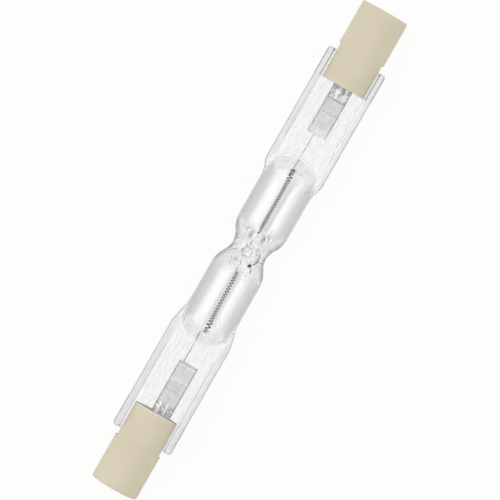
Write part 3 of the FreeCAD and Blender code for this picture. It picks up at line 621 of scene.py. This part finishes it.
path = wire_path()
wire_line = bpy.data.curves.new("filament_line", "CURVE")
wire_line.dimensions = "3D"
wire_line.bevel_depth, wire_line.bevel_resolution, wire_line.use_fill_caps = fine_wire_r * MM, 1, True
run = wire_line.splines.new("POLY")
run.points.add(len(path) - 1)
for point, (centre, radius) in zip(run.points, path):
    point.co = (*(centre * MM), 1)
    point.radius = radius / fine_wire_r
line_object = bpy.data.objects.new("filament_line", wire_line)
scene.collection.objects.link(line_object)
bpy.context.view_layer.update()
wound = bpy.data.meshes.new_from_object(line_object.evaluated_get(bpy.context.evaluated_depsgraph_get()))
bpy.data.objects.remove(line_object)
wound.name = "filament_wire"
wound.materials.clear()
wound.materials.append(tungsten)
wound.shade_smooth()
filament_wire = bpy.data.objects.new("filament_wire", wound)
scene.collection.objects.link(filament_wire)
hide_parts("filament")
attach(filament_wire, "root")

# Foils: ribbons of molybdenum rolled to a few hundredths of a millimetre and
# etched thin along their edges, which buckle a little as the glass closes.
foil_width, foil_thickness = 2.95, 0.03
foil_runs = {"right": (18.9, 28.4, -0.13), "left": (-28.4, -18.4, -0.60)}  # both ends, and the shift across
creases = {"right": ((24.6, 0.045, 0.25), (22.5, 0.02, 0.2)),  # where each is, its height and its width
           "left": ((-18.9, 0.04, 0.18), (-21.1, 0.04, 0.2), (-22.9, 0.03, 0.25))}
crease_slant, pucker_height = 0.05, 0.012
lead_start, lead_lift = 24.7, 0.07  # from here outwards the foil is lifted over the lead below it
lift_run, lift_half = 0.4, 0.42  # how soon it rises, and half the width that rises
tone_reach = 10  # how far along a foil its tones are set
# Tone along each foil; the bright and dark bands at the creases are painted glints and painted shade.
foil_tones = {  # where the tone changes, from the foil's inner end, and to what
    "right": ((0.0, "F4F4F2"), (0.9, "F6F6F4"), (1.2, "E6E6E4"), (3.5, "E5E5E3"), (3.6, "D0D0CE"),
              (3.75, "E6E6E4"), (5.5, "E2E2E0"), (5.7, "AEAEB2"), (5.95, "F4F4F2"), (7.1, "FAFAF8"),
              (7.3, "BEBEBE"), (7.5, "F6F6F4"), (7.8, "CCCCCA"), (8.0, "F2F2F0")),
    "left": ((0.0, "C8C8C6"), (0.35, "DADAD8"), (0.5, "FCFCFC"), (0.7, "E2E2E0"), (2.6, "E6E6E4"),
             (2.75, "FCFCFC"), (2.95, "E4E4E2"), (4.4, "E2E2E0"), (4.5, "CECECC"), (4.65, "E6E6E4"),
             (7.15, "E4E4E2"), (7.3, "FCFCFC"), (7.45, "E8E8E6"))}


def foil_finish(side):
    """Rolled molybdenum with bands across it, painted glints and painted shade at its creases, and long edges
    etched thin and dull.

    Its rolling lines are drawn coarser than the real ones, so that they show.
    """
    rolled, tree, output = new_material(f"rolled_molybdenum_{side}")
    start, end, shift = foil_runs[side]
    way, inner = (1, start) if side == "right" else (-1, end)
    place = add_node(tree, "TexCoord").outputs["Object"]
    spot = add_node(tree, "SeparateXYZ", {"Vector": place}).outputs
    streaks = add_node(tree, "Mapping", {"Vector": place, "Scale": (0.08, 1, 1)}).outputs[0]
    rolling = add_node(tree, "TexNoise", {"Vector": streaks, "Scale": 1 / (0.12 * MM), "Detail": 3.0})
    cloud = add_node(tree, "TexNoise", {"Vector": place, "Scale": 1 / (0.7 * MM), "Detail": 4.0}).outputs["Fac"]
    sway = add_node(tree, "MapRange", {
        "Value": cloud, "To Min": -0.25 * MM, "To Max": 0.25 * MM}).outputs[0]
    along = add_node(tree, "Math", {0: spot["X"], 1: sway}, operation="ADD").outputs[0]
    from_inner_end = add_node(tree, "MapRange", {
        "Value": along, "From Min": inner * MM, "From Max": (inner + way * tone_reach) * MM}).outputs[0]
    # Painted glints and painted shade in bands across the foil, at its creases.
    crease_glints_and_shade = add_node(tree, "ValToRGB", {"Fac": from_inner_end})
    tones = foil_tones[side]
    crease_glints_and_shade.color_ramp.elements.remove(crease_glints_and_shade.color_ramp.elements[1])
    crease_glints_and_shade.color_ramp.elements[0].color = to_linear(tones[0][1])
    for reach, code in tones[1:]:
        crease_glints_and_shade.color_ramp.elements.new(reach / tone_reach).color = to_linear(code)

    off_middle = add_node(tree, "Math", {0: spot["Y"], 1: shift * MM}, operation="SUBTRACT").outputs[0]
    from_line = add_node(tree, "Math", {0: off_middle}, operation="ABSOLUTE").outputs[0]
    at_edge = add_node(tree, "MapRange", {"Value": from_line, "From Min": 1.15 * MM, "From Max": 1.42 * MM},
                       interpolation_type="SMOOTHSTEP").outputs[0]
    etched = add_node(tree, "Mix", {
        "Factor": at_edge, 6: crease_glints_and_shade.outputs["Color"], 7: to_linear("CECED0")},
        data_type="RGBA", blend_type="MULTIPLY").outputs[2]
    dusk = add_node(tree, "ValToRGB", {"Fac": cloud})
    dusk.color_ramp.elements[0].position, dusk.color_ramp.elements[1].position = 0.35, 0.6
    dusk.color_ramp.elements[0].color = to_linear("F0F0F0")
    tone = add_node(tree, "Mix", {"Factor": 1.0, 6: etched, 7: dusk.outputs["Color"]},
                    data_type="RGBA", blend_type="MULTIPLY").outputs[2]

    # Over the weld the foil is mottled, and pale stripes along it are painted highlights where it is lifted
    # over the lead
    from_middle = add_node(tree, "Math", {0: spot["X"]}, operation="ABSOLUTE").outputs[0]
    over_weld = add_node(tree, "MapRange", {
        "Value": from_middle, "From Min": lead_start * MM, "From Max": (lead_start + 0.3) * MM}).outputs[0]
    spatter = add_node(tree, "TexNoise", {"Vector": place, "Scale": 1 / (0.33 * MM), "Detail": 2.0})
    mottle = add_node(tree, "ValToRGB", {"Fac": spatter.outputs["Fac"]})
    mottle.color_ramp.elements[0].position, mottle.color_ramp.elements[1].position = 0.38, 0.54
    mottle.color_ramp.elements[0].color = to_linear("C0C0C2")
    mottled = add_node(tree, "Mix", {"Factor": over_weld, 6: tone, 7: mottle.outputs["Color"]},
                       data_type="RGBA", blend_type="MULTIPLY").outputs[2]
    across = add_node(tree, "MapRange", {
        "Value": spot["Y"], "From Min": -2.0 * MM, "From Max": 1.0 * MM}).outputs[0]
    ridge_highlights = add_node(tree, "ValToRGB", {"Fac": across})
    ridge_highlights.color_ramp.elements[0].position, ridge_highlights.color_ramp.elements[1].position = 0.29, 0.33
    for position, code in ((0.39, "FFFFFF"), (0.43, "000000"), (0.64, "000000"), (0.68, "FFFFFF"),
                           (0.74, "FFFFFF"), (0.78, "000000")):
        ridge_highlights.color_ramp.elements.new(position).color = to_linear(code)
    # The pale stripes are painted highlights.
    painted_highlight = add_node(tree, "Math", {0: ridge_highlights.outputs["Color"], 1: over_weld}, operation="MULTIPLY").outputs[0]
    highlighted = add_node(tree, "Mix", {"Factor": painted_highlight, 6: mottled, 7: to_linear("FAFAF9")},
                      data_type="RGBA").outputs[2]
    bump = add_node(tree, "Bump", {
        "Height": rolling.outputs["Fac"], "Strength": 0.4, "Distance": 0.006 * MM}).outputs[0]
    metal = add_node(tree, "BsdfPrincipled", {
        "Base Color": highlighted, "Metallic": 1.0, "Roughness": 0.45, "Normal": bump})
    tree.links.new(metal.outputs[0], output.inputs["Surface"])
    return rolled


for side, (start, end, shift) in foil_runs.items():
    bm = bmesh.new()
    bmesh.ops.create_grid(bm, x_segments=200, y_segments=40, size=0.5)
    for vert in bm.verts:
        x, y = start + (end - start) * (vert.co.x + 0.5), shift + foil_width * vert.co.y
        z = sum(height * math.exp(-((x - at - crease_slant * y) / spread) ** 2)
                for at, height, spread in creases[side])
        t = min(max((abs(x) - lead_start) / lift_run, 0), 1)
        over_lead = math.exp(-(y / lift_half) ** 4)
        puckers = pucker_height * math.sin(5.2 * x + 2.1 * y) * math.sin(4.4 * y - 1.3 * x)
        z += t * t * (3 - 2 * t) * (lead_lift * over_lead + puckers)
        vert.co = Vector((x, y, z)) * MM
    bmesh.ops.solidify(bm, geom=bm.faces[:], thickness=foil_thickness * MM)
    bmesh.ops.translate(bm, verts=bm.verts, vec=(0, 0, foil_thickness / 2 * MM))
    bmesh.ops.recalc_face_normals(bm, faces=bm.faces)
    foil = finished(f"sealing_foil_{side}", bm, foil_finish(side))
    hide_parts(f"foil_{side}")
    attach(foil, "root")

# Outer leads: round molybdenum wire, cropped, and welded to the underside of
# the foil. It has drawing lines along it, which are drawn coarser than the real
# ones, so that they show, and is mottled by the heat of the weld.
lead_wire, tree, output = new_material("molybdenum_wire")
place = add_node(tree, "TexCoord").outputs["Object"]
drawing = add_node(tree, "Mapping", {"Vector": place, "Scale": (0.04, 1, 1)}).outputs[0]
scratches = add_node(tree, "TexNoise", {"Vector": drawing, "Scale": 1 / (0.06 * MM), "Detail": 2.0})
spatter = add_node(tree, "TexNoise", {"Vector": place, "Scale": 1 / (0.25 * MM), "Detail": 4.0})
tone = add_node(tree, "ValToRGB", {"Fac": spatter.outputs["Fac"]})
tone.color_ramp.elements[0].position, tone.color_ramp.elements[1].position = 0.38, 0.62
tone.color_ramp.elements[0].color = to_linear("9C9A97")
tone.color_ramp.elements[1].color = to_linear("C4C2BF")
bump = add_node(tree, "Bump", {"Height": scratches.outputs["Fac"], "Strength": 0.4, "Distance": 0.008 * MM})
metal = add_node(tree, "BsdfPrincipled", {
    "Base Color": tone.outputs["Color"], "Metallic": 1.0, "Roughness": 0.32, "Normal": bump.outputs[0]})
tree.links.new(metal.outputs[0], output.inputs["Surface"])
for side in ("right", "left"):
    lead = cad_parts[f"outer_lead_{side}"]
    lead.data.materials.clear()
    lead.data.materials.append(lead_wire)

# Caps: steatite ceramic, pressed from powder and fired without a glaze, so
# they are cream, matt and very slightly gritty. The grit is drawn coarser than
# the real one, so that it shows. Their inner ends are painted paler, as painted
# light on end faces that the lamps leave in shade.
cap_inner_end = 26.72
steatite, tree, output = new_material("fired_steatite")
place = add_node(tree, "TexCoord").outputs["Object"]
clouds = add_node(tree, "TexNoise", {"Vector": place, "Scale": 1 / (5.0 * MM), "Detail": 4.0})
tone = add_node(tree, "ValToRGB", {"Fac": clouds.outputs["Fac"]})
tone.color_ramp.elements[0].position, tone.color_ramp.elements[1].position = 0.3, 0.7
tone.color_ramp.elements[0].color = to_linear("D9D0BA")
tone.color_ramp.elements[1].color = to_linear("DFD6C0")
spot = add_node(tree, "SeparateXYZ", {"Vector": place}).outputs
from_middle = add_node(tree, "Math", {0: spot["X"]}, operation="ABSOLUTE").outputs[0]
# The inner end faces are painted paler: painted light.
painted_end_light = add_node(tree, "MapRange", {
    "Value": from_middle, "From Min": cap_inner_end * MM, "From Max": (cap_inner_end + 0.04) * MM,
    "To Min": 1.0, "To Max": 0.0}).outputs[0]
ceramic = add_node(tree, "Mix", {"Factor": painted_end_light, 6: tone.outputs["Color"], 7: to_linear("FFFAF0")},
                   data_type="RGBA")
grit = add_node(tree, "TexNoise", {"Vector": place, "Scale": 1 / (0.18 * MM), "Detail": 3.0})
bump = add_node(tree, "Bump", {"Height": grit.outputs["Fac"], "Strength": 0.35, "Distance": 0.02 * MM})
fired = add_node(tree, "BsdfPrincipled", {
    "Base Color": ceramic.outputs[2], "Roughness": 0.8, "IOR": 1.4, "Normal": bump.outputs[0]})
tree.links.new(fired.outputs[0], output.inputs["Surface"])

# Contacts: nickel-plated metal discs, pressed into the caps, with a socket
# behind them for the outer lead. The plating has a soft, slightly dulled shine.
nickel, tree, output = new_material("plated_nickel")
place = add_node(tree, "TexCoord").outputs["Object"]
dulling = add_node(tree, "TexNoise", {"Vector": place, "Scale": 1 / (0.5 * MM), "Detail": 4.0})
tone = add_node(tree, "ValToRGB", {"Fac": dulling.outputs["Fac"]})
tone.color_ramp.elements[0].color = to_linear("B9B4AA")
tone.color_ramp.elements[1].color = to_linear("D2CEC6")
bump = add_node(tree, "Bump", {"Height": dulling.outputs["Fac"], "Strength": 0.2, "Distance": 0.01 * MM})
metal = add_node(tree, "BsdfPrincipled", {
    "Base Color": tone.outputs["Color"], "Metallic": 1.0, "Roughness": 0.3, "Normal": bump.outputs[0]})
tree.links.new(metal.outputs[0], output.inputs["Surface"])

# Cement: white refractory paste, filled into the cap's slot round the pinch and
# baked hard, which leaves it dull and lumpy.
paste, tree, output = new_material("refractory_cement")
place = add_node(tree, "TexCoord").outputs["Object"]
lumps = add_node(tree, "TexNoise", {"Vector": place, "Scale": 1 / (0.3 * MM), "Detail": 5.0})
tone = add_node(tree, "ValToRGB", {"Fac": lumps.outputs["Fac"]})
tone.color_ramp.elements[0].color = to_linear("D5D0C4")
tone.color_ramp.elements[1].color = to_linear("ECE8DE")
bump = add_node(tree, "Bump", {"Height": lumps.outputs["Fac"], "Strength": 0.6, "Distance": 0.05 * MM})
baked = add_node(tree, "BsdfPrincipled", {
    "Base Color": tone.outputs["Color"], "Roughness": 0.8, "Normal": bump.outputs[0]})
tree.links.new(baked.outputs[0], output.inputs["Surface"])

for side in ("right", "left"):
    for piece, material, slot in (("cap", steatite, "cap_ceramic"), ("contact", nickel, "contact_metal"),
                                  ("cement", paste, "white_cement")):
        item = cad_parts[f"{piece}_{side}"]
        item.data.materials.clear()
        item.data.materials.append(material)
